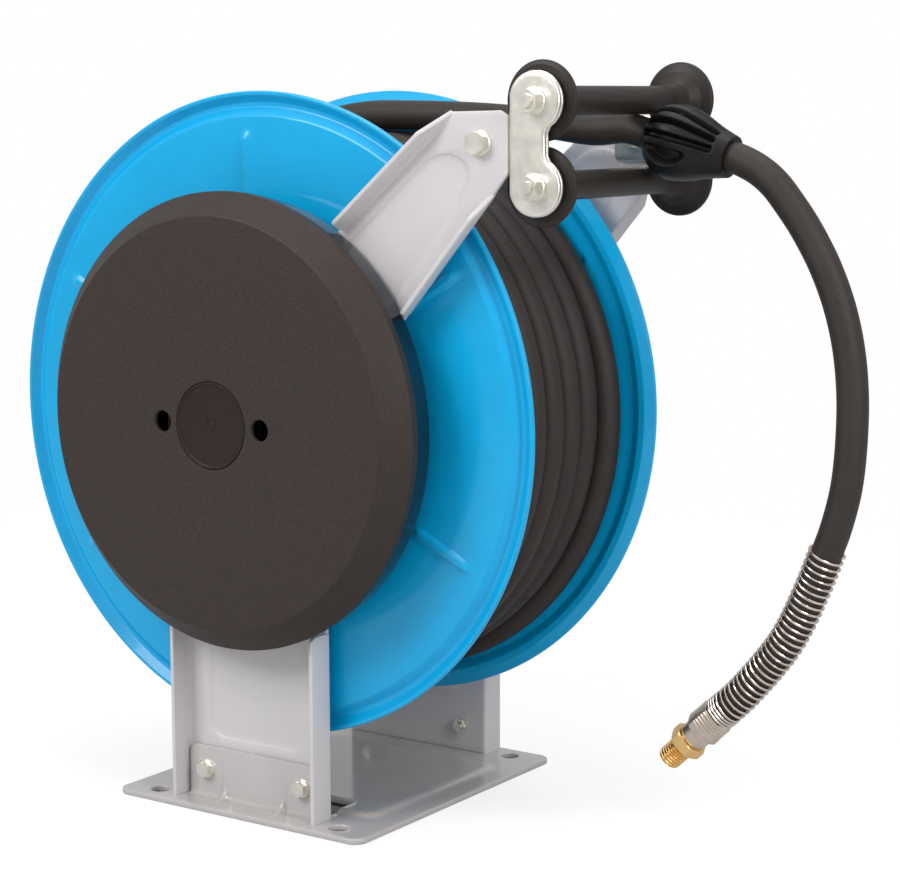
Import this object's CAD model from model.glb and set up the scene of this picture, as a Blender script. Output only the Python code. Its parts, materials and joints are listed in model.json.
"""Looks of a spring-rewind hose reel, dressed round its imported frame. Sizes are in millimetres."""

import json
from math import acos, atan2, cos, degrees, hypot, inf, pi, radians, sin, sqrt, tan

import bmesh
import bpy
from mathutils import Matrix, Vector
from mathutils.geometry import delaunay_2d_cdt


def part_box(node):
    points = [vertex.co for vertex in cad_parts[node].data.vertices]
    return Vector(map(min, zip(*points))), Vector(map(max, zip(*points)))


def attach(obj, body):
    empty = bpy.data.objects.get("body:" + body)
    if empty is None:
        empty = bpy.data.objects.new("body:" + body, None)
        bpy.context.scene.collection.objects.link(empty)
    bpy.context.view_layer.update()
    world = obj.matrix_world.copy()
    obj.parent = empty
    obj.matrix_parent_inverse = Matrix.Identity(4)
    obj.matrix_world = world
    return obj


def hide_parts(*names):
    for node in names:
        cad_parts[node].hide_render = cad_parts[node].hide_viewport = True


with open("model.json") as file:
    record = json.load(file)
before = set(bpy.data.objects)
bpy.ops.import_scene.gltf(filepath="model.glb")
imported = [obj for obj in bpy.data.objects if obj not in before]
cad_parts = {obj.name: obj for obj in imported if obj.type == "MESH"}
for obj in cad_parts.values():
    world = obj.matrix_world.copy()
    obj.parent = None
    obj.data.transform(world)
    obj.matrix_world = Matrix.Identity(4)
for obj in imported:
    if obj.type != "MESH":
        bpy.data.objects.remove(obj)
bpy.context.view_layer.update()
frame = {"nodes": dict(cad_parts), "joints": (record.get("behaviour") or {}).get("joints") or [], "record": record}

MM = 0.001
WELD = 1e-6
SMOOTH_TO = 35
MITRE_LEAST = 0.4
X_AXIS = Vector((1, 0, 0))
Y_AXIS = Vector((0, 1, 0))
Z_AXIS = Vector((0, 0, 1))
JOINTS = {j["name"]: Vector(j["pos_m"]) / MM for j in frame["joints"]}


def box(node):
    """Lowest and highest corners of a node, in millimetres."""
    low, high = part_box(node)
    return low / MM, high / MM


def radius_of(node):
    """Radius of a node that is round about an axis along Y."""
    low, high = box(node)
    return (high.x - low.x) / 2


# Outlines and routes


def spread(first, last, count):
    """Values in even steps from the first to the last."""
    return [first + (last - first) * k / count for k in range(count + 1)]


def arc(x, y, radius, first, last, steps=40):
    """Points of an arc between two angles."""
    return [(x + radius * cos(a), y + radius * sin(a)) for a in spread(first, last, steps)]


def round_hole(x, y, radius):
    """Clockwise outline of a round hole."""
    return arc(x, y, radius, 0, -2 * pi, 48)[:-1]


def rounded(corners, steps=5):
    """Closed outline of corners (x, y, radius), each rounded by an arc."""
    outline = []
    count = len(corners)
    for i, (x, y, radius) in enumerate(corners):
        corner = Vector((x, y))
        if radius == 0:
            outline.append((x, y))
            continue
        before = (Vector(corners[i - 1][:2]) - corner).normalized()
        after = (Vector(corners[(i + 1) % count][:2]) - corner).normalized()
        half = before.angle(after) / 2
        centre = corner + (before + after).normalized() * radius / sin(half)
        arm_in = corner + before * radius / tan(half) - centre
        arm_out = corner + after * radius / tan(half) - centre
        first = atan2(arm_in.y, arm_in.x)
        sweep = atan2(arm_out.y, arm_out.x) - first
        sweep = (sweep + pi) % (2 * pi) - pi
        outline += arc(centre.x, centre.y, radius, first, first + sweep, steps)
    return outline


def rounded_box(half_x, low, high, radius, steps=5):
    """Outline of a box with rounded corners, centred in x."""
    corners = [(-half_x, low), (half_x, low), (half_x, high), (-half_x, high)]
    return rounded([(x, y, radius) for x, y in corners], steps)


def smooth_route(points, spacing=2.0):
    """Dense points on a smooth curve through the given ones."""
    through = [Vector(p) for p in points]
    ends = [2 * through[0] - through[1], *through, 2 * through[-1] - through[-2]]
    route = []
    for i in range(1, len(ends) - 2):
        a, b, c, d = ends[i - 1:i + 3]
        steps = max(1, round((c - b).length / spacing))
        for k in range(steps):
            t = k / steps
            bend = (2 * a - 5 * b + 4 * c - d) * t ** 2 + (3 * b - a - 3 * c + d) * t ** 3
            route.append((2 * b + (c - a) * t + bend) / 2)
    route.append(through[-1])
    return route


def route_marks(route):
    """Distance along the route at each of its points."""
    marks = [0.0]
    for a, b in zip(route, route[1:]):
        marks.append(marks[-1] + (b - a).length)
    return marks


def smooth_step(low, high, value):
    t = min(1.0, max(0.0, (value - low) / (high - low)))
    return t * t * (3 - 2 * t)


# Meshes


def add_object(name, data):
    made = bpy.data.objects.new(name, data)
    bpy.context.scene.collection.objects.link(made)
    return made


def make_piece(name, shape, node=None, body="frame", sharp=SMOOTH_TO, look=None):
    """Object of a shape in millimetres that rides on a body and may stand for a CAD node."""
    points, faces, *uvs = shape
    mesh = bpy.data.meshes.new(name)
    mesh.from_pydata([Vector(p) * MM for p in points], [], faces)
    if uvs:
        layer = mesh.uv_layers.new(name="along")
        for loop in mesh.loops:
            layer.data[loop.index].uv = uvs[0][loop.vertex_index]
    tidy = bmesh.new()
    tidy.from_mesh(mesh)
    bmesh.ops.remove_doubles(tidy, verts=tidy.verts, dist=WELD)
    bmesh.ops.recalc_face_normals(tidy, faces=tidy.faces)
    tidy.to_mesh(mesh)
    tidy.free()
    mesh.shade_smooth()
    mesh.set_sharp_from_angle(angle=radians(sharp))
    mesh.materials.append(LOOKS[look or NODE_SLOT[node]])
    piece = add_object(name, mesh)
    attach(piece, body)
    if node:
        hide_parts(node)
    return piece


def band(rows, count, start=0, closed=False):
    """Faces between rows of points that are rings; closed joins the last row to the first."""
    faces = []
    for row in range(rows if closed else rows - 1):
        up = ((row + 1) % rows - row) * count
        for k in range(count):
            a = start + row * count + k
            b = start + row * count + (k + 1) % count
            faces.append((a, b, b + up, a + up))
    return faces


def loft(rings, closed=False):
    """Skin through rings of points, with flat ends or with the last ring joined to the first."""
    count = len(rings[0])
    points = [p for ring in rings for p in ring]
    if closed:
        return points, band(len(rings), count, closed=True)
    ends = [tuple(range(count)), tuple(range(len(points) - count, len(points)))]
    return points, ends + band(len(rings), count)


def lathe(profile, origin, axis, segments, relief=lambda radius, angle: 0):
    """Closed profile of (radius, height) turned about an axis along Y; relief adds to the height."""
    rings = []
    for angle in spread(0, 2 * pi, segments)[:-1]:
        out = X_AXIS * cos(angle) + Z_AXIS * sin(angle)
        rings.append([origin + out * r + axis * (h + relief(r, angle)) for r, h in profile])
    return loft(rings, closed=True)


def tube(route, radius, sides=24):
    """Round tube along a dense route, with closed ends and coordinates along and round it."""
    last = len(route) - 1
    turns = spread(0, 2 * pi, sides)[:-1]
    side = None
    rings = []
    uvs = []
    for i, (place, mark) in enumerate(zip(route, route_marks(route))):
        along = (route[min(i + 1, last)] - route[max(i - 1, 0)]).normalized()
        side = along.orthogonal() if side is None else side
        side = (side - along * side.dot(along)).normalized()
        up = along.cross(side)
        rings.append([place + radius * (side * cos(a) + up * sin(a)) for a in turns])
        uvs += [(mark * MM, radius * a * MM) for a in turns]
    return *loft(rings), uvs


def polar_skin(radius_at, heights, origin, axis, bore, sides=192, first=0.0, half=False):
    """Body whose outer radius is radius_at(height, angle), bored through, all round or half way round."""
    side = X_AXIS if abs(axis.y) > 0.9 else (Y_AXIS - axis * Y_AXIS.dot(axis)).normalized()
    up = axis.cross(side)
    low, *_, high = heights
    rings = []
    for angle in spread(first, first + (pi if half else 2 * pi), sides):
        out = side * cos(angle) + up * sin(angle)
        section = [(low, bore), *((h, radius_at(h, angle)) for h in heights), (high, bore)]
        rings.append([origin + axis * h + out * r for h, r in section])
    return loft(rings) if half else loft(rings[:-1], closed=True)


def merged(*meshes):
    """One list of points and one of faces from several."""
    points = []
    faces = []
    for more_points, more_faces in meshes:
        start = len(points)
        points += more_points
        faces += [tuple(start + i for i in face) for face in more_faces]
    return points, faces


# Pressed sheets: outlines run anticlockwise, holes clockwise; place(x, y, height) sets a point in the scene


def fillet(radius):
    """Quarter round as (distance, height) from its corner, starting on the flat."""
    return [(radius * (1 - sin(a)), radius * (1 - cos(a))) for a in spread(0, pi / 2, 3)]


def inset(outline, distance):
    """Outline moved to its left by a distance."""
    moved = []
    count = len(outline)
    for i in range(count):
        here = Vector(outline[i])
        before = (here - Vector(outline[i - 1])).normalized()
        after = (Vector(outline[(i + 1) % count]) - here).normalized()
        left = Vector((-before.y - after.y, before.x + after.x)).normalized()
        moved.append(here + left * distance / max(MITRE_LEAST, left.dot(Vector((-before.y, before.x)))))
    return moved


def subdivided(outline, spacing):
    """Outline with its long sides divided."""
    dense = []
    for a, b in zip(outline, [*outline[1:], outline[0]]):
        count = max(1, round((Vector(b) - Vector(a)).length / spacing))
        dense += [Vector(a).lerp(Vector(b), k / count) for k in range(count)]
    return dense


def depth_inside(x, y, outline):
    """Distance from a point to a closed outline, negative outside it."""
    nearest = inf
    inside = False
    ax, ay = outline[-1]
    for bx, by in outline:
        dx, dy = bx - ax, by - ay
        share = ((x - ax) * dx + (y - ay) * dy) / max(1e-9, dx * dx + dy * dy)
        share = min(1.0, max(0.0, share))
        nearest = min(nearest, hypot(ax + share * dx - x, ay + share * dy - y))
        if (ay > y) != (by > y) and x < ax + (y - ay) * dx / dy:
            inside = not inside
        ax, ay = bx, by
    return nearest if inside else -nearest


def grid_inside(outline, holes, spacing, margin, panel, room):
    """Staggered points with a margin to the outline and the holes, and room beside the panel's edge."""
    xs = [p[0] for p in outline]
    ys = [p[1] for p in outline]
    points = []
    for j in range(round((max(ys) - min(ys)) / spacing)):
        for i in range(round((max(xs) - min(xs)) / spacing)):
            x = min(xs) + spacing * (i + 0.25 + 0.5 * (j % 2))
            y = min(ys) + spacing * (j + 0.5)
            beside = not panel or abs(depth_inside(x, y, panel)) > room
            open_way = any(depth_inside(x, y, h) > -margin for h in holes)
            if beside and not open_way and depth_inside(x, y, outline) > margin:
                points.append(Vector((x, y)))
    return points


def pressed_sheet(outline, thickness, place, holes=(), edge=0.7, spacing=3.0,
                  panel=None, press=0.0, soft=1.0):
    """Sheet with rounded edges; its panel is pressed out of its plane, within a soft edge."""

    def lift(x, y):
        return press * smooth_step(-soft, soft, depth_inside(x, y, panel)) if panel else 0.0

    rows = fillet(edge) + [(d, thickness - h) for d, h in reversed(fillet(edge))]
    points = []
    faces = []
    flat = []
    sides = []
    openings = []
    for rim in [subdivided(line, spacing) for line in (outline, *holes)]:
        faces += band(len(rows), len(rim), len(points))
        for distance, height in rows:
            points += [place(p.x, p.y, height + lift(p.x, p.y)) for p in inset(rim, distance)]
        openings.append(inset(rim, edge))
    creases = [inset(subdivided(panel, spacing), d) for d in (-soft, 0, soft)] if panel else []
    for line in openings + creases:
        count = len(line)
        sides += [(len(flat) + k, len(flat) + (k + 1) % count) for k in range(count)]
        flat += line
    flat += grid_inside(outline, holes, spacing, edge + spacing * 0.5, panel, soft + spacing * 0.5)
    spots, _, triangles, _, _, _ = delaunay_2d_cdt(flat, sides, [], 1, 1e-5)

    def in_sheet(triangle):
        x, y = sum((spots[i] for i in triangle), Vector((0, 0))) / len(triangle)
        return all(depth_inside(x, y, line) < 0 for line in openings[1:])

    triangles = [t for t in triangles if in_sheet(t)]
    for height in (0, thickness):
        start = len(points)
        points += [place(p.x, p.y, height + lift(p.x, p.y)) for p in spots]
        faces += [tuple(start + i for i in triangle) for triangle in triangles]
    return points, faces


def edge_section(sheet, height, lean, bend=2.0, edge=0.8):
    """Section of a sheet's bent edge: distance in from its outside, and height."""
    out = -lean * max(0, height - sheet)
    root = min(bend, max(0.01, height - edge - sheet))
    top = [(d, height - h) for d, h in reversed(fillet(edge))]
    over = [(out + d, h) for d, h in top] + [(out + sheet - d, h) for d, h in reversed(top)]
    inside = [(sheet + d, sheet + h) for d, h in reversed(fillet(root))]
    return fillet(bend) + over + inside + [(sheet + root, sheet / 2)]


def bent_edge(first, last, sheet, height_at, place, lean=0.0, spacing=2.0):
    """Edge bent up along a line that has the sheet on its left; height_at takes the distance run."""
    start = Vector(first)
    along = (Vector(last) - start).normalized()
    left = Vector((-along.y, along.x))
    length = (Vector(last) - start).length
    rings = []
    for far in spread(0, length, round(length / spacing)):
        section = edge_section(sheet, height_at(far), lean)
        rings.append([place(*(start + along * far + left * d), h) for d, h in section])
    return loft(rings)


def skirt(outline, wall, low, high, place, edge=0.6):
    """Wall that hangs from a sheet's outline."""
    corner = [(d, low + h) for d, h in reversed(fillet(edge))]
    section = [(0, high), *corner, *((wall - d, h) for d, h in reversed(corner)), (wall, high)]
    return loft([[place(p.x, p.y, h) for p in inset(outline, d)] for d, h in section], closed=True)


# Materials


def srgb(red, green, blue):
    """Linear colour from sRGB values of 0 to 255."""
    shares = [c / 255 for c in (red, green, blue)]
    return [c / 12.92 if c <= 0.04045 else ((c + 0.055) / 1.055) ** 2.4 for c in shares]


def feed(tree, node, *ordered, **named):
    """Sets inputs by order or by name, each to a value, an output or a node's first output; skips None."""
    for key, value in [*enumerate(ordered), *named.items()]:
        socket = node.inputs[key.replace("_", " ") if isinstance(key, str) else key]
        if isinstance(value, bpy.types.Node):
            value = value.outputs[0]
        if isinstance(value, bpy.types.NodeSocket):
            tree.links.new(value, socket)
        elif value is not None:
            socket.default_value = value
    return node


def add_node(tree, kind, *ordered, **named):
    return feed(tree, tree.nodes.new("ShaderNode" + kind), *ordered, **named)


def surface(name, colour, rough, tone=0.05, tone_scale=25.0, rough_drift=0.05, grain=0.0, grain_scale=2000.0,
            peel=0.0, peel_scale=260.0, weave=0.0, **fixed):
    """Procedural material: tone and roughness drift slowly, and a coarse and a fine noise give the relief."""
    material = bpy.data.materials.new(name)
    material.use_nodes = True
    tree = material.node_tree
    place = add_node(tree, "TexCoord").outputs["Object"]
    drift = add_node(tree, "TexNoise", place, Scale=tone_scale, Detail=4.0, Roughness=0.6)
    ramp = add_node(tree, "ValToRGB", drift)
    dark, pale = ramp.color_ramp.elements
    dark.position = 0.3
    pale.position = 0.7
    dark.color = [c * (1 - tone) for c in colour] + [1]
    pale.color = [min(1, c * (1 + tone)) for c in colour] + [1]
    sheen = add_node(tree, "MapRange", drift, To_Min=max(0.02, rough - rough_drift),
                     To_Max=rough + rough_drift)
    below = None
    for height, scale in ((peel, peel_scale), (grain, grain_scale)):
        if height:
            relief = add_node(tree, "TexNoise", place, Scale=scale, Detail=2.0)
            below = add_bump(tree, relief, height, below)
    if weave:
        below = add_bump(tree, add_weave(tree), weave, below)
    feed(tree, tree.nodes["Principled BSDF"], Base_Color=ramp, Roughness=sheen, Normal=below, **fixed)
    return material


def add_bump(tree, relief, height, below):
    """Bump of a height in millimetres, on top of the one below it."""
    return add_node(tree, "Bump", Strength=1.0, Distance=height * MM, Height=relief, Normal=below)


def add_weave(tree):
    """Cloth print of a wrapped hose: two sets of fine threads, lengthwise and round."""
    along = add_node(tree, "UVMap")
    along.uv_map = "along"
    waves = []
    for direction in ("X", "Y"):
        wave = add_node(tree, "TexWave", along, Scale=300.0, Distortion=0.6, Detail=1.0)
        wave.bands_direction = direction
        waves.append(wave.outputs["Fac"])
    mix = add_node(tree, "Math", *waves)
    mix.operation = "ADD"
    return mix


FINISHES = {
    "drum_paint": dict(colour=srgb(5, 166, 222), rough=0.3, tone=0.04, peel=0.012, Specular_IOR_Level=0.3,
                       Coat_Weight=0.3, Coat_Roughness=0.07),
    "post_paint": dict(colour=srgb(205, 201, 202), rough=0.38, tone=0.025, peel=0.012, Coat_Weight=0.15,
                       Coat_Roughness=0.12),
    "base_paint": dict(colour=srgb(186, 181, 180), rough=0.16, tone=0.03, peel=0.008, Coat_Weight=0.6,
                       Coat_Roughness=0.05),
    "case_paint": dict(colour=srgb(8, 20, 32), rough=0.16, tone=0.1, peel=0.008, Coat_Weight=0.5,
                       Coat_Roughness=0.05),
    "cover_plastic": dict(colour=srgb(54, 46, 42), rough=0.5, tone=0.2, tone_scale=620, grain=0.11,
                          grain_scale=1300, Specular_IOR_Level=0.25),
    "cap_plastic": dict(colour=srgb(38, 27, 25), rough=0.5, tone=0.18, tone_scale=620, grain=0.1,
                        grain_scale=1300, Specular_IOR_Level=0.25),
    "bush_plastic": dict(colour=srgb(228, 225, 214), rough=0.45, tone=0.03, grain=0.01),
    "spring_steel": dict(colour=srgb(222, 210, 200), rough=0.24, tone=0.12, tone_scale=160, Metallic=1.0),
    "roller_plastic": dict(colour=srgb(40, 35, 32), rough=0.45, tone=0.1, grain=0.03, grain_scale=1700,
                           Specular_IOR_Level=0.3),
    "stop_rubber": dict(colour=srgb(20, 17, 16), rough=0.42, tone=0.1, grain=0.03, grain_scale=1200,
                        Specular_IOR_Level=0.3),
    "hose_rubber": dict(colour=srgb(51, 45, 42), rough=0.5, tone=0.12, tone_scale=40, weave=0.05,
                        Specular_IOR_Level=0.3),
    "seal_rubber": dict(colour=srgb(18, 18, 18), rough=0.6, grain=0.02),
    "brass": dict(colour=srgb(250, 206, 140), rough=0.24, tone=0.1, tone_scale=90, grain=0.008, Metallic=1.0),
    "bright_steel": dict(colour=srgb(214, 200, 186), rough=0.34, tone=0.14, tone_scale=120, grain=0.008,
                         Metallic=1.0),
    "zinc": dict(colour=srgb(238, 235, 224), rough=0.36, tone=0.08, tone_scale=90, rough_drift=0.1,
                 grain=0.012, grain_scale=900, Metallic=1.0),
    "machined_steel": dict(colour=srgb(158, 158, 160), rough=0.34, tone=0.1, tone_scale=140, grain=0.01,
                           Metallic=1.0),
    "oiled_steel": dict(colour=srgb(52, 50, 48), rough=0.45, tone=0.1, tone_scale=140, Metallic=1.0),
}
LOOKS = {name: surface(name, **finish) for name, finish in FINISHES.items()}
NODE_SLOT = {s["node"]: s["material_slot"] for s in frame["record"]["subparts"]}
NODE_LOOK = {**NODE_SLOT, "mainspring": "oiled_steel", "spring_arbor": "oiled_steel"}


# Camera

PHOTO_W = 900
SENSOR_W = 36.0
FOCAL_PX = 2311.89
CAMERA_PLACE = Vector((973.5, -1264.4, 479.5))
CAMERA_TARGET = Vector((99.6, -4.0, 249.1))
CAMERA_ROLL = radians(-0.167)


def make_camera():
    data = bpy.data.cameras.new("photo_camera")
    data.sensor_width = SENSOR_W
    data.lens = FOCAL_PX * SENSOR_W / PHOTO_W
    camera = add_object("photo_camera", data)
    forward = (CAMERA_TARGET - CAMERA_PLACE).normalized()
    level = forward.cross(Z_AXIS).normalized()
    above = level.cross(forward)
    right = level * cos(CAMERA_ROLL) + above * sin(CAMERA_ROLL)
    up = above * cos(CAMERA_ROLL) - level * sin(CAMERA_ROLL)
    turn = Matrix((right, up, -forward)).transposed().to_4x4()
    camera.matrix_world = Matrix.Translation(CAMERA_PLACE * MM) @ turn
    bpy.context.scene.camera = camera


make_camera()


# Hose: sizes and route as in the solids

HOSE_D = 20.0
HOSE_R = HOSE_D / 2
HOSE_Y = 36.0
GUIDE = (JOINTS["upper_roller_spin"] + JOINTS["lower_roller_spin"]) / 2
STOP_TILT = radians(13)
STOP_LEN = 59.0
STOP_DIR = Vector((cos(STOP_TILT), 0, -sin(STOP_TILT)))
STOP_START = Vector((GUIDE.x + 7, HOSE_Y, GUIDE.z + 3.5))
STOP_END = STOP_START + STOP_DIR * STOP_LEN
STOP_MID = STOP_START + STOP_DIR * STOP_LEN / 2

FREE_ROUTE = [
    (0, 0), (10.5, -3.5), (21, -9), (31, -17), (40.5, -28), (49, -39), (57, -51), (64.5, -64), (71.5, -79),
    (77, -94), (81.5, -111), (84.5, -129), (86, -148), (86, -167), (85, -186), (83, -203), (79.7, -218),
    (75.6, -232), (71.9, -242.2), (64.8, -261), (59, -275), (51.8, -291), (43.6, -306), (33.5, -320),
    (22.5, -333.5), (11.5, -346), (-3.06, -360),
]
FREE_POINTS = [STOP_END + Vector((x, 0, z)) for x, z in FREE_ROUTE]
FITTING_START = FREE_POINTS[-1]
FITTING_DIR = (FREE_POINTS[-1] - FREE_POINTS[-2]).normalized()
GUARD_FROM = 18

free_hose_route = smooth_route([STOP_MID, *FREE_POINTS])
free_hose = make_piece("free_hose", tube(free_hose_route, HOSE_R, 32), "hose_free")


# Bend guard: one wire, open from the hose's side and close at the ferrule

GUARD_WIRE = 1.8
GUARD_OPEN = 29
GUARD_CLOSE = 3
GUARD_CLOSE_PITCH = 2.3
GUARD_R = HOSE_R + 0.25 + GUARD_WIRE / 2
CURL_STEPS = 28


def make_guard():
    centre = smooth_route(FREE_POINTS[GUARD_FROM:])
    marks = route_marks(centre)
    curls = GUARD_OPEN + GUARD_CLOSE
    end_room = GUARD_WIRE / 2 + 0.3
    open_len = marks[-1] - GUARD_CLOSE * GUARD_CLOSE_PITCH - 2 * end_room

    def distance(curl):
        if curl > GUARD_OPEN:
            return marks[-1] - end_room - (curls - curl) * GUARD_CLOSE_PITCH
        return end_room + open_len * curl / GUARD_OPEN

    wire = []
    i = 0
    for k in range(curls * CURL_STEPS + 1):
        far = distance(k / CURL_STEPS)
        while i < len(marks) - 2 and marks[i + 1] < far:
            i += 1
        share = (far - marks[i]) / (marks[i + 1] - marks[i])
        place = centre[i].lerp(centre[i + 1], share)
        along = (centre[i + 1] - centre[i]).normalized()
        out = along.cross(Y_AXIS).normalized()
        angle = 2 * pi * k / CURL_STEPS
        wire.append(place + GUARD_R * (out * cos(angle) + Y_AXIS * sin(angle)))
    return make_piece("bend_guard", tube(wire, GUARD_WIRE / 2, 10), "spring_guard")


guard = make_guard()


# Hose stop: two ribbed halves

STOP_R = 24.5
STOP_SHAPE = [(0, 0.55), (0.08, 0.78), (0.2, 0.95), (0.36, 1.0), (0.55, 0.9), (0.78, 0.7), (1.0, 0.55)]
STOP_GROOVES = [6, 30, 54, 78]
STOP_GROOVE_W = 6.5
STOP_GROOVE_DEPTH = 6.0
STOP_POCKET = 110
STOP_POCKET_DEPTH = 7.0
STOP_POCKET_AT = 0.36
STOP_POCKET_REACH = (0.27, 17)
STOP_LINE = smooth_route([(s, r, 0) for s, r in STOP_SHAPE], spacing=0.01)


def stop_radius(height, angle):
    """Outer radius at a distance along the stop, with angle 0 at the back and 90 degrees at the top."""
    share = height / STOP_LEN
    radius = STOP_R * min(STOP_LINE, key=lambda p: abs(p.x - share)).y
    off = abs((degrees(angle) - 90 + 180) % 360 - 180)
    grooved = smooth_step(0.0, 0.05, share) * (1 - smooth_step(0.8, 0.88, share))
    groove = 0
    for place in STOP_GROOVES:
        across = radius * radians(abs(off - place))
        groove = max(groove, 1 - smooth_step(STOP_GROOVE_W * 0.15, STOP_GROOVE_W * 0.5, across))
    long_way = (share - STOP_POCKET_AT) / STOP_POCKET_REACH[0]
    cross_way = (off - STOP_POCKET) / STOP_POCKET_REACH[1]
    pocket = 1 - smooth_step(0.55, 1.0, hypot(long_way, cross_way + 0.5 * long_way ** 2))
    return radius - STOP_GROOVE_DEPTH * groove * grooved - STOP_POCKET_DEPTH * pocket


def make_stop_half(name, node, first):
    heights = spread(0, STOP_LEN, 90)
    skin = polar_skin(stop_radius, heights, STOP_START, STOP_DIR, HOSE_R + 0.1, 200, first, half=True)
    return make_piece(name, skin, node, sharp=50)


# Ends of a half lie in the hose's upright plane
stop_back = make_stop_half("hose_stop_back", "stop_half_back", -pi / 2)
stop_front = make_stop_half("hose_stop_front", "stop_half_front", pi / 2)


# Hose end: crimped ferrule, neck and threaded adapter

FERRULE_LEN = 18.0
FERRULE_AF = 23.0
FERRULE_RINGS = 7
FERRULE_EDGE = 0.9
CRIMP_DEPTH = 0.5
NECK_LEN = 9.0
NECK_R = 10.0
ADAPTER_HEX_LEN = 8.0
ADAPTER_AF = 22.0
THREAD_LEN = 17.0
THREAD_R = 8.33
THREAD_PITCH = 2.2
THREAD_DEPTH = 1.3
THREAD_NECK = 2.2
FITTING_BORE = 5.0
STEP_H = 0.01
CROWN_SLOPE = 1.6


def hexagon_radius(across, angle):
    step = pi / 3
    off = (angle + step / 2) % step - step / 2
    return across / 2 / cos(off)


def ferrule_radius(height, angle):
    if height > FERRULE_LEN:
        return NECK_R - 0.8 * smooth_step(FERRULE_LEN + NECK_LEN - 1.5, FERRULE_LEN + NECK_LEN, height)
    crimped = 1 - smooth_step(FERRULE_LEN * 0.62, FERRULE_LEN * 0.68, height)
    wave = 0.5 - 0.5 * cos(2 * pi * height * FERRULE_RINGS / FERRULE_LEN)
    round_r = FERRULE_AF / 2 * 1.05
    body = round_r + 0.5 * (hexagon_radius(FERRULE_AF, angle) - round_r)
    ends = 1 - smooth_step(0, 1.0, height) + smooth_step(FERRULE_LEN - 1.0, FERRULE_LEN, height)
    return body - CRIMP_DEPTH * crimped * wave - FERRULE_EDGE * ends


def adapter_radius(height, angle):
    if height <= ADAPTER_HEX_LEN:
        chamfer = min(height, ADAPTER_HEX_LEN - height)
        return min(hexagon_radius(ADAPTER_AF, angle), ADAPTER_AF / 2 + 0.35 + chamfer * CROWN_SLOPE)
    far = height - ADAPTER_HEX_LEN
    if far < THREAD_NECK:
        return THREAD_R - THREAD_DEPTH
    phase = (far / THREAD_PITCH - angle / (2 * pi)) % 1
    ridge = THREAD_DEPTH * smooth_step(0, 0.8, abs(2 * phase - 1))
    lead = 1.2 * smooth_step(THREAD_LEN - 1.8, THREAD_LEN, far)
    return THREAD_R - THREAD_DEPTH + ridge - lead


def make_fittings():
    heights = spread(0, FERRULE_LEN, 150) + spread(FERRULE_LEN + STEP_H, FERRULE_LEN + NECK_LEN, 20)
    skin = polar_skin(ferrule_radius, heights, FITTING_START, FITTING_DIR, FITTING_BORE)
    ferrule = make_piece("crimped_ferrule", skin, "ferrule", sharp=28)
    heights = spread(0, ADAPTER_HEX_LEN, 40)
    heights += spread(ADAPTER_HEX_LEN + STEP_H, ADAPTER_HEX_LEN + THREAD_LEN, 150)
    start = FITTING_START + FITTING_DIR * (FERRULE_LEN + NECK_LEN)
    skin = polar_skin(adapter_radius, heights, start, FITTING_DIR, FITTING_BORE)
    adapter = make_piece("threaded_adapter", skin, "brass_adapter", sharp=28)
    return ferrule, adapter


ferrule, adapter = make_fittings()


# Hose on the drum

AXIS = JOINTS["drum_spin"]
FLANGE_R = radius_of("drum_front_flange")
SPOOL_FRONT = box("drum_barrel")[0].y
SPOOL_BACK = box("drum_barrel")[1].y
WIND_R = FLANGE_R - 37
WIND_GAP = 1.6
WIND_PITCH = HOSE_D + WIND_GAP
WIND_LANES = 6
WIND_FROM = radians(135)
CROSS_SHARE = 0.25
TURN_STEPS = 120
CORE_R = radius_of("hose_core")
HOSE_ROOM = 0.3
DIVE_R = HOSE_R + 14
SLOT_Y = SPOOL_BACK - (HOSE_D + 1) / 2


def drum_point(radius, angle, y, sideways=0.0):
    """Point of the drum at a radius and angle, moved sideways along the turn."""
    x = radius * cos(angle) - sideways * sin(angle)
    z = radius * sin(angle) + sideways * cos(angle)
    return Vector((AXIS.x + x, y, AXIS.z + z))


def make_winding():
    """Outer layer: each turn lies in its lane, wanders a little, and crosses to the next one behind."""
    first_y = SPOOL_FRONT + HOSE_R + HOSE_ROOM
    turns = WIND_LANES - CROSS_SHARE

    def lane_y(turn):
        whole = int(turn)
        cross = smooth_step(1 - CROSS_SHARE, 1, turn - whole)
        return first_y + WIND_PITCH * (whole + cross)

    def wander(turn):
        return 0.6 * sin(2.1 * turn * pi + 0.7) + 0.5 * sin(5.3 * turn + 1.9)

    def dive(turn, way):
        angle = WIND_FROM - 2 * pi * turn
        y = lane_y(turn)
        curve = []
        for bend in spread(0, pi / 2, 10)[1:]:
            radius = WIND_R - DIVE_R * (1 - cos(bend))
            curve.append(drum_point(radius, angle, y, way * DIVE_R * sin(bend)))
        return curve + [drum_point(CORE_R - 1.6 * HOSE_D, angle, y, way * DIVE_R)]

    count = round(turns * TURN_STEPS)
    wound = []
    for k in range(count + 1):
        turn = k / TURN_STEPS
        settle = min(1, turn * 4, (turns - turn) * 4)
        wound.append(drum_point(WIND_R + settle * wander(turn), WIND_FROM - 2 * pi * turn, lane_y(turn)))
    route = [*reversed(dive(0, 1)), *wound, *dive(turns, -1)]
    make_piece("hose_turns", tube(route, HOSE_R), "hose_winding", "drum")


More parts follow.
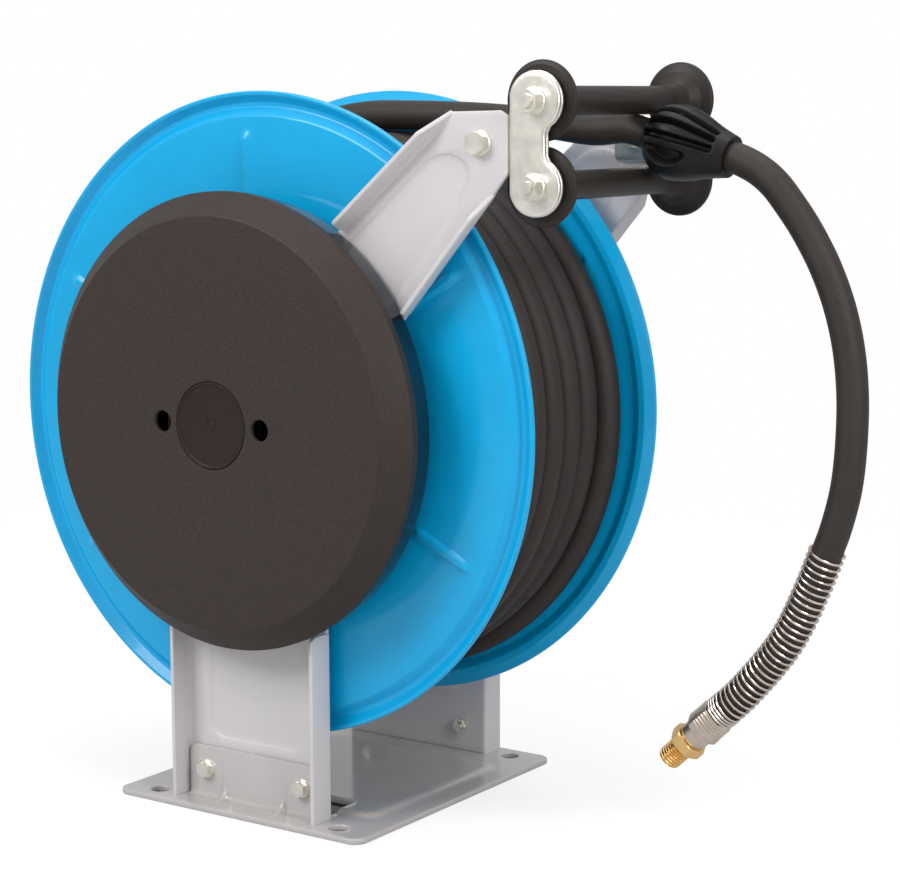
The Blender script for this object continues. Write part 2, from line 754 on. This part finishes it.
def make_inner_turns():
    """Layers under the outer one, as a body with the outline of stacked turns."""
    low, high = box("hose_core")
    inner_r = radius_of("drum_barrel") + HOSE_ROOM
    lanes = 6
    lane_w = (high.y - low.y) / lanes
    layers = 3
    layer_h = (CORE_R - inner_r) / layers
    front = low.y + lane_w / 2
    back = high.y - lane_w / 2

    def bulges(count, start, step, out):
        turns = spread(0, pi, 8)
        half = [(0.5 - 0.5 * cos(a), out * sin(a)) for a in turns]
        return [(start + step * (n + far), b) for n in range(count) for far, b in half]

    stack = bulges(layers, inner_r, layer_h, lane_w / 2)
    outside = bulges(lanes, low.y, lane_w, layer_h / 2)
    profile = [(inner_r, front), *((r, front - b) for r, b in stack)]
    profile += [(CORE_R - layer_h / 2 + b, y) for y, b in outside]
    profile += [*((r, back + b) for r, b in reversed(stack)), (inner_r, back)]
    skin = lathe(profile, Vector((AXIS.x, 0, AXIS.z)), Y_AXIS, 200)
    make_piece("hose_inner_turns", skin, "hose_core", "drum")


def make_lead():
    """Last turns beside the back flange, then the run between the rollers to the stop."""
    turns = 2
    rise = HOSE_D + 1.5
    top_r = WIND_R + HOSE_D + 0.5
    lead = [(45, -0.5), (90, -2), (140, -5.5), (185, -9.5)]
    shift = [SLOT_Y - 5, SLOT_Y - 7, SLOT_Y - 11, HOSE_Y + 1.5]
    ease = 3
    ease_turn = 0.4
    spiral = []
    for k in range(turns * TURN_STEPS + 1):
        left = turns - k / TURN_STEPS
        y = SLOT_Y - ease * max(0, 1 - left / ease_turn)
        spiral.append(drum_point(top_r - rise * left, pi / 2 + 2 * pi * left, y))
    run = [Vector((x, y, AXIS.z + top_r + z)) for (x, z), y in zip(lead, shift)]
    straight = [STOP_START - STOP_DIR * HOSE_D, STOP_START, STOP_MID]
    route = spiral[:-1] + smooth_route([spiral[-1], *run, *straight])
    make_piece("hose_lead", tube(route, HOSE_R, 28), "hose_feed")


make_winding()
make_inner_turns()
make_lead()


# Drum flanges: pressed sheet with a groove, a turned-out lip and short ribs

SHEET = 2.0
BEAD_R = FLANGE_R - 16
GROOVE_R = FLANGE_R - 9.2
GROOVE_DEPTH = 4.5
FLANGE_HOLE_R = 18.0
RIB_COUNT = 6
RIB_FIRST = radians(93)
RIB_W = 9.0
RIB_H = 2.2
RIB_ENDS = (BEAD_R - 54, BEAD_R - 10 - RIB_W / 2)
FACE_STEP = 2.5


def rib_relief(radius, angle):
    """Height of the nearest pressed rib."""
    if radius > BEAD_R - 0.5:
        return 0
    step = 2 * pi / RIB_COUNT
    off = (angle - RIB_FIRST + step / 2) % step - step / 2
    along = radius * cos(off)
    across = radius * sin(off)
    past = max(0, RIB_ENDS[0] - along, along - RIB_ENDS[1])
    reach = hypot(across, past)
    return RIB_H * (1 - smooth_step(RIB_W * 0.16, RIB_W * 0.5, reach))


def flange_profile():
    floor = SHEET - GROOVE_DEPTH
    outline = rounded([
        (FLANGE_HOLE_R, 0, 0), (BEAD_R - 0.8, 0, 4), (GROOVE_R - 1.8, -GROOVE_DEPTH, 2.4),
        (GROOVE_R + 2.8, -GROOVE_DEPTH, 3), (FLANGE_R, -0.9, 0.9), (FLANGE_R, 2.4, 1.2),
        (FLANGE_R - 2.6, 2.0, 1.4), (GROOVE_R + 1.6, floor, 2.4), (GROOVE_R - 1.2, floor, 2.4),
        (BEAD_R, SHEET, 3.4), (FLANGE_HOLE_R, SHEET, 0),
    ], steps=6)
    dense = []
    for a, b in zip(outline, outline[1:] + outline[:1]):
        dense.append(a)
        flat = abs(a[1] - b[1]) < 0.01 and min(a[0], b[0]) < BEAD_R and abs(a[0] - b[0]) > FACE_STEP
        if flat:
            count = round(abs(b[0] - a[0]) / FACE_STEP)
            dense += [(a[0] + (b[0] - a[0]) * k / count, a[1]) for k in range(1, count)]
    return dense


def make_flange(name, node, inner_y, axis):
    origin = Vector((AXIS.x, inner_y, AXIS.z))
    skin = lathe(flange_profile(), origin, axis, 720, rib_relief)
    make_piece(name, skin, node, "drum")


make_flange("front_flange", "drum_front_flange", SPOOL_FRONT, -Y_AXIS)
make_flange("back_flange", "drum_back_flange", SPOOL_BACK, Y_AXIS)


# Spring motor: drawn case, moulded cover and cap

CASE_LOW, CASE_HIGH = box("spring_case")
COVER_LOW, COVER_HIGH = box("spring_cover")
CASE_R = radius_of("spring_case")
COVER_R = radius_of("spring_cover")
COVER_DEPTH = COVER_HIGH.y - COVER_LOW.y
CASE_DEPTH = CASE_HIGH.y - CASE_LOW.y
CASE_BORE_R = 20.0
CASE_WALL = 2.0
COVER_FACE_R = COVER_R - 15
COVER_WALL = 3.0
COVER_EDGE_H = 6.0
CAP_R = 29.0
CAP_STEP = 4.0
CAP_DEPTH = 1.8
PEG_HOLE_X = 41.0
PEG_HOLE_R = 7.0


def cut_away(piece, cutter):
    """Takes the cutter's shape out of the piece and removes the cutter."""
    cut = piece.modifiers.new("cut", "BOOLEAN")
    cut.operation = "DIFFERENCE"
    cut.solver = "EXACT"
    cut.object = cutter
    bpy.context.view_layer.update()
    shown = piece.evaluated_get(bpy.context.evaluated_depsgraph_get())
    mesh = bpy.data.meshes.new_from_object(shown)
    piece.modifiers.clear()
    old = piece.data
    piece.data = mesh
    bpy.data.meshes.remove(old)
    bpy.data.objects.remove(cutter)
    mesh.set_sharp_from_angle(angle=radians(SMOOTH_TO))


def make_spring_motor():
    back = Vector((AXIS.x, CASE_HIGH.y, AXIS.z))
    inside = CASE_R - CASE_WALL
    case = rounded([
        (CASE_BORE_R, 0, 0), (CASE_R, 0, 4), (CASE_R, CASE_DEPTH, 0.6), (inside, CASE_DEPTH, 0.6),
        (inside, CASE_WALL, 2), (CASE_BORE_R, CASE_WALL, 0),
    ])
    make_piece("drawn_case", lathe(case, back, -Y_AXIS, 320), "spring_case")
    edge = Vector((AXIS.x, COVER_HIGH.y, AXIS.z))
    inner_r = CASE_R + 0.3
    top = COVER_DEPTH
    under = top - COVER_WALL
    seat_r = CAP_R - CAP_STEP
    cover = rounded([
        (inner_r, 0, 0.6), (COVER_R, 0, 1.0), (COVER_R, COVER_EDGE_H, 1.2), (COVER_FACE_R, top, 2),
        (CAP_R, top, 0.6), (CAP_R, top - CAP_DEPTH, 0), (seat_r, top - CAP_DEPTH, 0), (seat_r, under, 0),
        (COVER_FACE_R - COVER_WALL, under, 4), (inner_r, COVER_EDGE_H, 2),
    ], steps=8)
    piece = make_piece("moulded_cover", lathe(cover, edge, -Y_AXIS, 320), "spring_cover")
    hole = rounded([
        (0, under - 2, 0), (PEG_HOLE_R, under - 2, 0), (PEG_HOLE_R, top, 0.7), (PEG_HOLE_R + 2, top, 0),
        (PEG_HOLE_R + 2, top + 2, 0), (0, top + 2, 0),
    ])
    pegs = [lathe(hole, edge + X_AXIS * x, -Y_AXIS, 48) for x in (-PEG_HOLE_X, PEG_HOLE_X)]
    cut_away(piece, make_piece("peg_cutter", merged(*pegs), look="cover_plastic"))
    make_cap(edge)


def make_cap(edge):
    top = COVER_DEPTH
    seat = top - CAP_DEPTH
    cap = rounded([
        (0, top - COVER_WALL, 0), (CAP_R - CAP_STEP - 0.05, top - COVER_WALL, 0),
        (CAP_R - CAP_STEP - 0.05, seat, 0), (CAP_R - 0.4, seat, 0), (CAP_R - 0.4, top, 0.5),
        (CAP_R - 1.6, top, 0.3), (CAP_R - 2.6, top - 1.0, 0.3), (4.4, top - 1.0, 0.15), (4.0, top - 1.4, 0.1),
        (3.2, top - 1.4, 0.1), (2.8, top - 1.0, 0.1), (0, top - 1.0, 0),
    ])
    skin = lathe(cap, edge, -Y_AXIS, 128)
    make_piece("centre_cap", skin, "cover_cap", sharp=40, look="cap_plastic")


make_spring_motor()


# Rollers of the hose guide

ROLLER_R = 9.0
DISC_R = 24.5
DISC_T = 4.0
AXLE_R = 4.06
ROLLERS = ("upper_roller", "lower_roller")


def make_roller(name):
    low, high = box(name)
    length = high.y - low.y
    half = [(AXLE_R, 0, 0), (DISC_R - 3, 0, 1.2), (DISC_R, 0.6, 1.4), (DISC_R, DISC_T, 1.8),
            (ROLLER_R + 9, DISC_T + 2.4, 3), (ROLLER_R + 3.2, DISC_T + 7.5, 4), (ROLLER_R, DISC_T + 18, 10)]
    other = [(r, length - h, f) for r, h, f in reversed(half)]
    spin = JOINTS[name + "_spin"]
    skin = lathe(rounded(half + other), Vector((spin.x, low.y, spin.z)), Y_AXIS, 128)
    make_piece("spool_" + name, skin, name, name)


for roller in ROLLERS:
    make_roller(roller)


# Pawl spring: coil round its pin


def make_pawl_spring():
    low, high = box("pawl_spring")
    wire = 1.2
    turns = 5
    coil_r = (high.x - low.x - wire) / 2
    steps = turns * 32
    pin = JOINTS["pawl_swing"]
    first = low.y + wire / 2
    rise = high.y - low.y - wire
    coil = []
    for k in range(steps + 1):
        angle = 2 * pi * turns * k / steps
        coil.append(Vector((pin.x + coil_r * cos(angle), first + rise * k / steps,
                            pin.z + coil_r * sin(angle))))
    make_piece("pawl_coil", tube(coil, wire / 2, 8), "pawl_spring")


make_pawl_spring()


# Posts: channels of bent sheet with a shallow pressed panel

POST_FRONT = box("front_post")[1].y
POST_BACK = box("back_post")[0].y
POST_HALF = box("front_post")[1].x
POST_FOOT = box("front_post")[0].z - AXIS.z
POST_T = 3.0
POST_DEPTH = 20.0
POST_PANEL = rounded_box(39.5, 46 - AXIS.z, -84, 10)
PANEL_DEPTH = 1.1
PANEL_SOFT = 0.8
BEND_IN = 1.0
BUSH_R = 20.0
CASE_ROOM_R = CASE_R + 3
END_R = 4.0


def upright(side, inner_y):
    """Place of an upright sheet: x and z from the drum axis, height outwards from its inner face."""
    return lambda x, z, height: Vector((AXIS.x + x, inner_y + side * height, AXIS.z + z))


def round_off(depth, left):
    """Depth of an edge that is rounded off at its end."""
    if left >= END_R:
        return depth
    return depth - END_R + sqrt(max(0, END_R ** 2 - (END_R - left) ** 2))


def channel_web(outline, thickness, place, panel):
    """Web of a channel, with the bearing's hole and a shallow panel."""
    holes = [round_hole(0, 0, BUSH_R)]
    return pressed_sheet(outline, thickness, place, holes, panel=panel, press=-PANEL_DEPTH, soft=PANEL_SOFT)


def make_post(name, node, side, inner_y):
    place = upright(side, inner_y)
    half = POST_HALF - BEND_IN
    first = acos(half / POST_HALF)
    outline = [(-half, POST_FOOT), (half, POST_FOOT), *arc(0, 0, POST_HALF, first, pi - first)]
    web = channel_web(outline, POST_T, place, POST_PANEL)
    top = -sqrt(CASE_ROOM_R ** 2 - POST_HALF ** 2)
    length = top - POST_FOOT
    right = bent_edge((POST_HALF, POST_FOOT), (POST_HALF, top), POST_T,
                      lambda far: round_off(POST_DEPTH, length - far), place)
    left = bent_edge((-POST_HALF, top), (-POST_HALF, POST_FOOT), POST_T,
                     lambda far: round_off(POST_DEPTH, far), place)
    make_piece(name, merged(web, right, left), node, sharp=40)


make_post("front_channel_post", "front_post", -1, POST_FRONT)
make_post("back_channel_post", "back_post", 1, POST_BACK)


# Arms: channels that end in a slanted tip, with flared edges and a long pressed panel

ARM_FRONT = box("front_arm")[1].y
ARM_BACK = box("back_arm")[0].y
ARM_T = 3.0
ARM_DEPTH = 14.0
ARM_LEAN = 0.16
ARM_HUB_R = 62.0
# Upper and lower edge: outer corner, radius that its line touches, run in which it rises, way round
ARM_EDGES = [(Vector((162.5, 202.5)), 47.5, 22.0, 1), (Vector((195, 151)), 50.5, 17.0, -1)]
ARM_TIP = [(204.5, 164.5, 5), (204.5, 199.5, 1.5), (199, 202.5, 2)]
ARM_PANEL = [
    (60, 98.2), (92.6, 126.6), (119.8, 150.3), (142, 169.8), (148, 173.6), (155, 175.6), (162.7, 175.9),
    (169.3, 173.8), (174.2, 169.8), (176.2, 164.2), (174.8, 158.8), (168.4, 145.3), (150.1, 121.4),
    (130.2, 96), (104, 62.6),
]


def touch_point(corner, radius, way):
    """Where a line from a corner touches a circle round the axis."""
    angle = atan2(corner.y, corner.x) + way * acos(radius / corner.length)
    return Vector((cos(angle), sin(angle))) * radius


def on_edge(corner, touch, radius):
    """Point of an arm's edge at a radius from the axis."""
    along = (corner - touch).normalized()
    return touch + along * sqrt(radius ** 2 - touch.length ** 2)


def make_arm(name, node, side, inner_y):
    place = upright(side, inner_y)
    hubs = []
    corners = []
    edges = []
    for corner, radius, run, way in ARM_EDGES:
        touch = touch_point(corner, radius, way)
        inward = -touch.normalized() * BEND_IN
        hubs.append(on_edge(corner, touch, ARM_HUB_R) + inward)
        corners.append(corner + inward)
        end = on_edge(corner, touch, CASE_ROOM_R)
        length = (corner - end).length

        def height_at(far):
            out = far if way > 0 else length - far
            return min(round_off(ARM_DEPTH, length - out), ARM_T + (ARM_DEPTH - ARM_T) * min(1, out / run))

        edges.append(bent_edge(*(corner, end)[::way], ARM_T, height_at, place, ARM_LEAN))
    up_hub, low_hub = hubs
    top, bottom = corners
    first = atan2(up_hub.y, up_hub.x)
    last = atan2(low_hub.y, low_hub.x) + 2 * pi
    hub = [(x, y, 0) for x, y in arc(0, 0, ARM_HUB_R, first, last)[1:-1]]
    outline = rounded([(*low_hub, 0), (*bottom, 4), *ARM_TIP, (*top, 3), (*up_hub, 0), *hub])
    web = channel_web(outline, ARM_T, place, ARM_PANEL)
    make_piece(name, merged(web, *edges), node, sharp=40)


make_arm("front_channel_arm", "front_arm", -1, ARM_FRONT)
make_arm("back_channel_arm", "back_arm", 1, ARM_BACK)


# Base: plate with a raised panel and two tabs, the front one bent up out of the plate

BASE_HALF_X = box("base_plate")[1].x
BASE_HALF_Y = box("base_plate")[1].y
BASE_T = 4.0
BASE_CORNER = 9.0
BASE_PANEL = rounded_box(85, -75, 75, 12, steps=8)
BASE_PANEL_H = 2.0
BASE_HOLE_R = 6.5
BASE_HOLES = [(x, y) for x in (-78, 78) for y in (-102, 102)]
TAB_HALF = 56.0
TAB_TOP = 39.0
TAB_CORNER = 6.0
TAB_V = (3.0, 7.0)
TAB_ROOT = 3.2
TAB_BEND = 6.0
WINDOW_DEPTH = 35.0
GUSSET_X = 25.0
GUSSET_ROOT = 7.5
GUSSET_SIDE = (0.8, 4.6)
TAB_EDGE = 0.9
SINK = 0.5


def tab_section(x, bent):
    """Section of a tab at x: distance out from the post's inner face, and height."""
    inner, outer = TAB_V
    left = TAB_HALF - abs(x)
    top = TAB_TOP
    if left < TAB_CORNER:
        top -= TAB_CORNER - sqrt(TAB_CORNER ** 2 - (TAB_CORNER - left) ** 2)
    gusset = 1 - smooth_step(*GUSSET_SIDE, abs(abs(x) - GUSSET_X))
    root = TAB_ROOT + GUSSET_ROOT * gusset
    low = BASE_T - SINK
    section = [(outer + root + SINK, low)]
    section += [(outer + d, BASE_T + h) for d, h in fillet(root)]
    corner = [(d, top - h) for d, h in reversed(fillet(TAB_EDGE))]
    section += [(outer - d, h) for d, h in corner] + [(inner + d, h) for d, h in reversed(corner)]
    if bent:
        section += [(inner + d, h) for d, h in reversed(fillet(TAB_BEND))]
        section.append((outer + root + SINK, 0.3))
    else:
        section += [(inner, BASE_T), (inner, low), (inner + 1, low), (outer, low)]
    return section


def make_tab(side, inner_y, bent):
    rings = []
    for x in spread(-TAB_HALF, TAB_HALF, 224):
        rings.append([Vector((x, inner_y + side * v, h)) for v, h in tab_section(x, bent)])
    return loft(rings)


def make_base():
    outline = rounded_box(BASE_HALF_X, -BASE_HALF_Y, BASE_HALF_Y, BASE_CORNER, steps=8)
    near = POST_FRONT - TAB_V[0] - TAB_BEND
    far = POST_FRONT - TAB_V[0] + WINDOW_DEPTH
    window = [(-TAB_HALF, near), (-TAB_HALF, far), (TAB_HALF, far), (TAB_HALF, near)]
    holes = [window] + [round_hole(*spot, BASE_HOLE_R) for spot in BASE_HOLES]
    sheet = pressed_sheet(outline, BASE_T, lambda x, y, h: Vector((x, y, h)), holes, edge=0.9, spacing=3.5,
                          panel=BASE_PANEL, press=BASE_PANEL_H, soft=2.2)
    tabs = [make_tab(-1, POST_FRONT, True), make_tab(1, POST_BACK, False)]
    make_piece("pressed_base", merged(sheet, *tabs), "base_plate", sharp=40)


make_base()


# Guide plates: drawn sheet with a turned-back rim, held to the arm by a tongue

PLATE_T = 3.0
PLATE_RIM = 3.0
PLATE_EDGE = 1.4
PLATE_LEFT = 205.5
LOBE_R = 18.0
WAIST = 7.5
WAIST_REACH = 19.0
WAIST_EASE = 0.12
TONGUE = (170.5, 213.5, 15.0)
GUIDE_BOLT = Vector((184.5, 0, 451.5))


def plate_outline():
    high = JOINTS["upper_roller_spin"].z - AXIS.z
    low = JOINTS["lower_roller_spin"].z - AXIS.z
    side = acos((PLATE_LEFT - GUIDE.x) / LOBE_R)
    waist = acos(WAIST / LOBE_R) - WAIST_EASE
    lower = arc(GUIDE.x, low, LOBE_R, -side, waist)
    upper = [(x, high + low - z) for x, z in reversed(lower)]
    middle = [(GUIDE.x + WAIST, low + WAIST_REACH), (GUIDE.x + WAIST, high - WAIST_REACH)]
    return lower + middle + upper


def make_guide_plate(name, node, side, inner_y):
    place = upright(side, inner_y)
    outline = subdivided(plate_outline(), 2.0)
    face = pressed_sheet([tuple(p) for p in outline], PLATE_T, place, edge=PLATE_EDGE, spacing=2.0)
    rim = skirt(outline, PLATE_T, -PLATE_RIM, PLATE_T - PLATE_EDGE, place)
    left, right, half = TONGUE
    z = GUIDE_BOLT.z - AXIS.z
    strip = rounded([(left, z - half, 3), (right, z - half, 1), (right, z + half, 1), (left, z + half, 3)])
    tongue = pressed_sheet(strip, PLATE_T, lambda x, z, h: place(x, z, h - PLATE_T))
    make_piece(name, merged(face, rim, tongue), node, sharp=40)


make_guide_plate("drawn_plate_front", "guide_plate_front", -1, ARM_FRONT)
make_guide_plate("drawn_plate_back", "guide_plate_back", 1, ARM_BACK)


# Fasteners that show: hexagons with a washer face

M6 = {"across": 10.0, "height": 4.0, "flange_r": 6.6, "flange_t": 1.2}
M8 = {"across": 13.0, "height": 5.3, "flange_r": 8.2, "flange_t": 1.5}
M8_NUT = {"across": 13.0, "height": 6.5, "flange_r": 8.5, "flange_t": 1.5}
M6_SHANK = (3.0, 14.0)
M8_SHANK = (4.0, 13.5)
NUT_BORE = 4.05
POST_BOLTS = [(-41.5, 23.0), (41.5, 23.0)]


def hexagon_head(seat, axis, across, height, flange_r, flange_t, bore=0.02):
    top = flange_t + height

    def radius(far, angle):
        if far <= flange_t:
            return flange_r - 0.5 * smooth_step(flange_t * 0.5, flange_t, far)
        crown = across / 2 + 0.25 + CROWN_SLOPE * (top - far)
        return min(hexagon_radius(across, angle), crown)

    heights = spread(0, flange_t, 5) + spread(flange_t + 0.05, top, 24)
    return polar_skin(radius, heights, seat, axis, bore, 96)


def bolt(seat, axis, size, radius, length):
    """Head and plain shank."""
    shank = lathe([(0, 0.5), (radius, 0.5), (radius, -length), (0, -length)], seat, axis, 32)
    return merged(hexagon_head(seat, axis, **size), shank)


def make_fasteners():
    bolts = []
    for side, inner_y in ((-1, POST_FRONT), (1, POST_BACK)):
        for x, z in POST_BOLTS:
            seat = Vector((x, inner_y + side * TAB_V[1], z))
            bolts.append(bolt(seat, Y_AXIS * side, M6, *M6_SHANK))
    make_piece("post_flange_bolts", merged(*bolts), "post_bolts", sharp=28)
    bolts = []
    nuts = []
    for side, inner_y in ((-1, ARM_FRONT), (1, ARM_BACK)):
        seat = Vector((GUIDE_BOLT.x, inner_y + side * ARM_T, GUIDE_BOLT.z))
        bolts.append(bolt(seat, Y_AXIS * side, M8, *M8_SHANK))
        for roller in ROLLERS:
            spin = JOINTS[roller + "_spin"]
            seat = Vector((spin.x, inner_y + side * PLATE_T, spin.z))
            nuts.append(hexagon_head(seat, Y_AXIS * side, **M8_NUT, bore=NUT_BORE))
    make_piece("guide_flange_bolts", merged(*bolts), "guide_bolts", sharp=28)
    make_piece("axle_flange_nuts", merged(*nuts), "axle_nuts", sharp=28)


make_fasteners()


# Solids that keep their shape: finish and broken edges

EDGE_BREAK = {"swivel_body": 0.8, "ratchet_wheel": 0.6, "pawl": 0.6}
SMALL_BREAK = 0.4
SEAM = 1e-5
SHARP_EDGE = radians(30)


def dress(name, node):
    """Gives a solid its finish and breaks its sharp edges."""
    node.data.materials.clear()
    node.data.materials.append(LOOKS[NODE_LOOK[name]])
    if node.hide_render:
        return
    seam = node.modifiers.new("seam", "WELD")
    seam.merge_threshold = SEAM
    edges = node.modifiers.new("edges", "BEVEL")
    edges.width = EDGE_BREAK.get(name, SMALL_BREAK) * MM
    edges.segments = 3
    edges.limit_method = "ANGLE"
    edges.angle_limit = SHARP_EDGE
    edges.harden_normals = True


for name, node in frame["nodes"].items():
    dress(name, node)


# Stage: pale floor, soft light, white surroundings

FLOOR_HALF = 30000.0
BOUNCE_TONE = (0.55, 0.55, 0.55, 1)
SHADE_TONE = (0.3, 0.3, 0.3, 1)
SHADE_GLOW = 0.72
SHADE_ENDS = (450.0, 1200.0)
COVERED = 6.0
HORIZON = (0.5, 0.5, 0.5, 1)
ZENITH = (0.7, 0.71, 0.72, 1)


def seen_directly(tree):
    """1 where the camera looks, also through a clear surface."""
    light = add_node(tree, "LightPath").outputs
    either = add_node(tree, "Math", light["Is Camera Ray"], light["Is Transmission Ray"])
    either.operation = "MAXIMUM"
    return either


def make_floor():
    """Floor that shows a faint shadow round the reel and runs out to white."""
    mesh = bpy.data.meshes.new("floor")
    corners = [(-1, -1), (1, -1), (1, 1), (-1, 1)]
    points = [Vector((x, y, 0)) * FLOOR_HALF * MM for x, y in corners]
    half = Vector((BASE_HALF_X - COVERED, BASE_HALF_Y - COVERED, 0))
    points += [Vector((x * half.x, y * half.y, 0)) * MM for x, y in corners]
    ring = [(k, (k + 1) % 4, 4 + (k + 1) % 4, 4 + k) for k in range(4)]
    mesh.from_pydata(points, [], [*ring, (4, 5, 6, 7)])
    floor = add_object("floor", mesh)
    material = bpy.data.materials.new("floor")
    material.use_nodes = True
    tree = material.node_tree
    tree.nodes.remove(tree.nodes["Principled BSDF"])
    bounce = add_node(tree, "BsdfDiffuse", Color=BOUNCE_TONE)
    shade = add_node(tree, "BsdfDiffuse", Color=SHADE_TONE)
    glow = add_node(tree, "Emission", Strength=SHADE_GLOW)
    near = add_node(tree, "AddShader", shade, glow)
    white = add_node(tree, "Emission", Strength=1.0)
    coords = add_node(tree, "TexCoord")
    reach = add_node(tree, "VectorMath", coords.outputs["Object"])
    reach.operation = "LENGTH"
    fade = add_node(tree, "MapRange", reach.outputs["Value"], From_Min=SHADE_ENDS[0] * MM,
                    From_Max=SHADE_ENDS[1] * MM)
    shown = add_node(tree, "MixShader", fade, near, white)
    choose = add_node(tree, "MixShader", seen_directly(tree), bounce, shown)
    feed(tree, tree.nodes["Material Output"], Surface=choose)
    mesh.materials.append(material)
    mesh.materials.append(surface("covered_floor", SHADE_TONE[:3], 0.8))
    mesh.polygons[4].material_index = 1


def make_world():
    """Soft sky that is paler overhead, and plain white behind the reel."""
    world = bpy.data.worlds.new("studio")
    bpy.context.scene.world = world
    world.use_nodes = True
    tree = world.node_tree
    coords = add_node(tree, "TexCoord")
    split = add_node(tree, "SeparateXYZ", coords.outputs["Generated"])
    ramp = add_node(tree, "ValToRGB", split.outputs["Z"])
    ramp.color_ramp.elements[0].color = HORIZON
    ramp.color_ramp.elements[1].color = ZENITH
    sky = feed(tree, tree.nodes["Background"], Color=ramp)
    white = add_node(tree, "Background", Color=(1, 1, 1, 1), Strength=1.0)
    choose = add_node(tree, "MixShader", seen_directly(tree), sky, white)
    feed(tree, tree.nodes["World Output"], Surface=choose)


def make_lamp(name, place, aim, size, power):
    data = bpy.data.lights.new(name, "AREA")
    data.shape = "RECTANGLE"
    data.size = size[0] * MM
    data.size_y = size[1] * MM
    data.energy = power
    lamp = add_object(name, data)
    lamp.location = Vector(place) * MM
    lamp.rotation_mode = "QUATERNION"
    lamp.rotation_quaternion = (Vector(aim) - Vector(place)).to_track_quat("-Z", "Y")


MIDDLE = Vector((80, -20, 260))
make_floor()
make_world()
make_lamp("key", (-650, -1600, 1550), MIDDLE, (1000, 1000), 26)
make_lamp("strip", (1500, -500, 900), MIDDLE, (250, 1200), 10)
make_lamp("top", (200, 100, 1900), MIDDLE, (1400, 1000), 10)
bpy.context.scene.view_settings.view_transform = "Standard"
